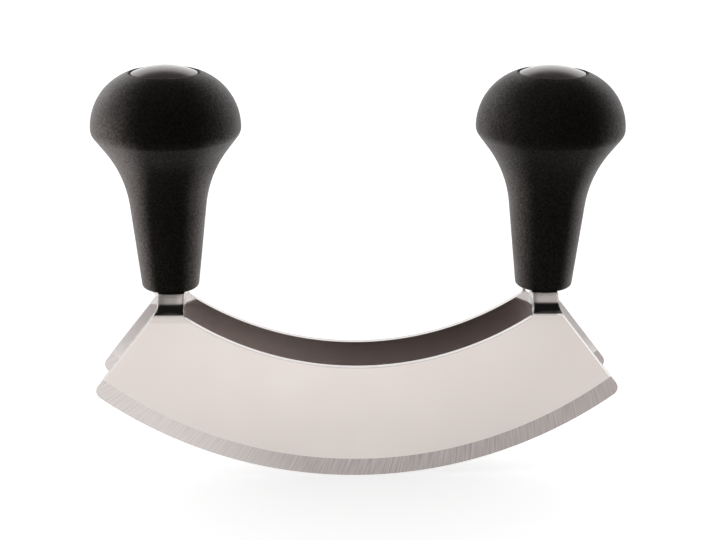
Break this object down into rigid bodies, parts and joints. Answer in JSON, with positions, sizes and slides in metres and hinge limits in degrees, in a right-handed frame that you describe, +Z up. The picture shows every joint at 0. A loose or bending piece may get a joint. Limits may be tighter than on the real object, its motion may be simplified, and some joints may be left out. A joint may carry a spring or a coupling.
{
  "type": "mezzaluna",
  "caption": "Rocking herb chopper with twin crescent blades folded from one steel sheet and a capped palm knob screwed to the strap at each end.",
  "frame": {"origin": "on the floor, midway between the lowest points of the two cutting edges, with the part standing upright", "axes": "+X along the blades, +Y from the front blade to the rear blade, +Z up through the handles"},
  "size_m": [0.145, 0.0404, 0.1149],
  "materials": {
    "blade_steel": "stainless sheet with a fine satin brush and ground edge bevels",
    "handle_plastic": "black moulded plastic with a fine matt grain",
    "cap_plastic": "smooth black moulded plastic, half gloss",
    "fastener_steel": "plain stainless fasteners"
  },
  "bodies": {
    "root": {"double_blade": "blade_steel", "left_handle": "handle_plastic", "left_handle_cap": "cap_plastic", "left_handle_screw": "fastener_steel", "left_plain_washer": "fastener_steel", "left_lock_washer": "fastener_steel", "left_hex_nut": "fastener_steel", "right_handle": "handle_plastic", "right_handle_cap": "cap_plastic", "right_handle_screw": "fastener_steel", "right_plain_washer": "fastener_steel", "right_lock_washer": "fastener_steel", "right_hex_nut": "fastener_steel"}
  },
  "joints": []
}
